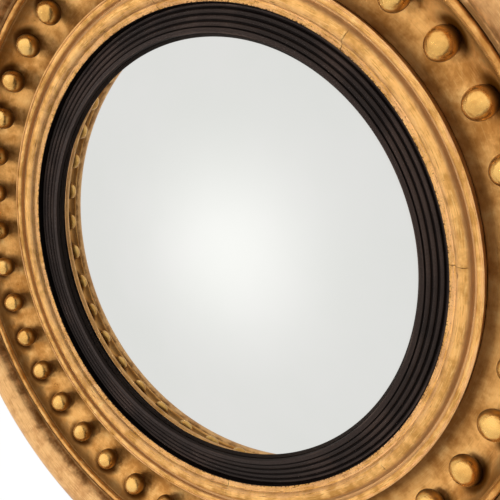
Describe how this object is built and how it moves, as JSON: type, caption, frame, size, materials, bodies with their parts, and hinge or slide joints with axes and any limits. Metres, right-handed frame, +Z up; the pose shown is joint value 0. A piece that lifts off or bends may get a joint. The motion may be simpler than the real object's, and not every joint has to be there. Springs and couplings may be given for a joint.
{
  "type": "convex butlers mirror",
  "caption": "Round convex wall mirror in a deep gilt frame: bold outer torus, hollow set with gilt balls, moulded inner border and ebonised reeded slip, hung by D rings.",
  "frame": {"origin": "centre of the frame's flush back face, on the mirror's axis", "axes": "-Y along the mirror's axis out into the room, +Y towards the wall, +Z up as hung, +X to the right as seen from the room"},
  "size_m": [0.5958, 0.087, 0.5958],
  "materials": {
    "pine_carcass": "old pine, toned brown",
    "gilt_inner": "aged water gilding over reddish bole on gessoed wood",
    "gilt_hollow": "aged water gilding over reddish bole on gessoed wood",
    "gilt_balls": "aged water gilding over reddish bole on turned wood",
    "gilt_outer": "aged water gilding, rubbed through to bole and gesso on the high parts",
    "ebonised_slip": "ebonised and waxed",
    "felt": "thin dark felt",
    "mirror_glass": "silvered convex glass, slightly warm with age",
    "pine_blocks": "sawn softwood",
    "backboard": "thin brown stained board",
    "steel_screws": "dull steel",
    "brass_straps": "aged brass",
    "brass_rings": "aged brass wire",
    "brass_screws": "aged brass",
    "rubber_bumpers": "dark rubber"
  },
  "bodies": {
    "frame": {"rear_ring_segments": "pine_carcass", "middle_ring_segments": "pine_carcass", "inner_moulding_segments": "gilt_inner", "gilt_hollow": "gilt_hollow", "gilt_balls": "gilt_balls", "outer_moulding": "gilt_outer", "reeded_slip": "ebonised_slip", "felt_strip": "felt", "convex_glass": "mirror_glass", "glazing_blocks": "pine_blocks", "backboard": "backboard", "backboard_screws": "steel_screws", "carcass_screws": "steel_screws", "left_hanger_strap": "brass_straps", "right_hanger_strap": "brass_straps", "hanger_screws": "brass_screws", "wall_bumpers": "rubber_bumpers"},
    "left_ring": {"left_hanger_ring": "brass_rings"},
    "right_ring": {"right_hanger_ring": "brass_rings"}
  },
  "joints": [
    {"name": "left_ring_swing", "type": "hinge", "parent": "frame", "child": "left_ring", "pos_m": [-0.20005, 0.0033, 0.16491], "axis": [1, 0, 0], "range_deg": [0, 180]},
    {"name": "right_ring_swing", "type": "hinge", "parent": "frame", "child": "right_ring", "pos_m": [0.20005, 0.0033, 0.16491], "axis": [1, 0, 0], "range_deg": [0, 180]}
  ]
}
